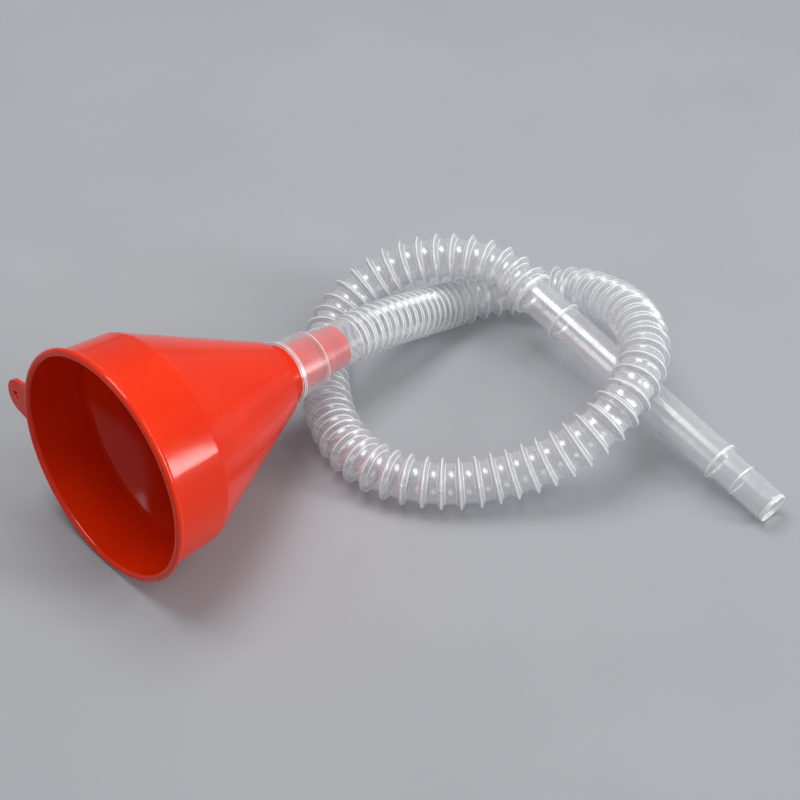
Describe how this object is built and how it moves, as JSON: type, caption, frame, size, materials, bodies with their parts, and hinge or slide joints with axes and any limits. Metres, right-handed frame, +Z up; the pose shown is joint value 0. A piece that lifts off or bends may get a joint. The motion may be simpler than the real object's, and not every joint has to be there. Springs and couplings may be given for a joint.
{
  "type": "funnel",
  "caption": "Wide-mouthed plastic funnel pushed into a long flexible bellows hose that ends in a straight filler nozzle, lying with the hose looped loosely over itself.",
  "frame": {"origin": "on the surface the funnel lies on, under the middle of the funnel body's box", "axes": "+Z up; +X along the funnel's axis seen from above, from the mouth to the spout; +Y towards the side with the hang tab"},
  "size_m": [0.3611, 0.3382, 0.1387],
  "materials": {
    "red_plastic": "glossy, a little see-through",
    "milky_plastic": "milky and see-through, satin"
  },
  "bodies": {
    "hose": {"hose_open_rings": "milky_plastic", "hose_nozzle": "milky_plastic"},
    "gathered": {"hose_gathered_rings": "milky_plastic"},
    "cuff": {"hose_cuff": "milky_plastic"},
    "funnel": {"funnel_body": "red_plastic"}
  },
  "joints": [
    {"name": "bellows_stretch", "type": "slide", "parent": "hose", "child": "gathered", "axis": [-0.9907, 0, 0.1357], "range_m": [0, 0.025]},
    {"name": "funnel_swivel", "type": "hinge", "parent": "gathered", "child": "cuff", "pos_m": [0.10107, -0.008, 0.04435], "axis": [0.9907, 0, -0.1357], "continuous": true},
    {"name": "funnel_pull_off", "type": "slide", "parent": "cuff", "child": "funnel", "axis": [-0.9907, 0, 0.1357], "range_m": [0, 0.05]}
  ]
}
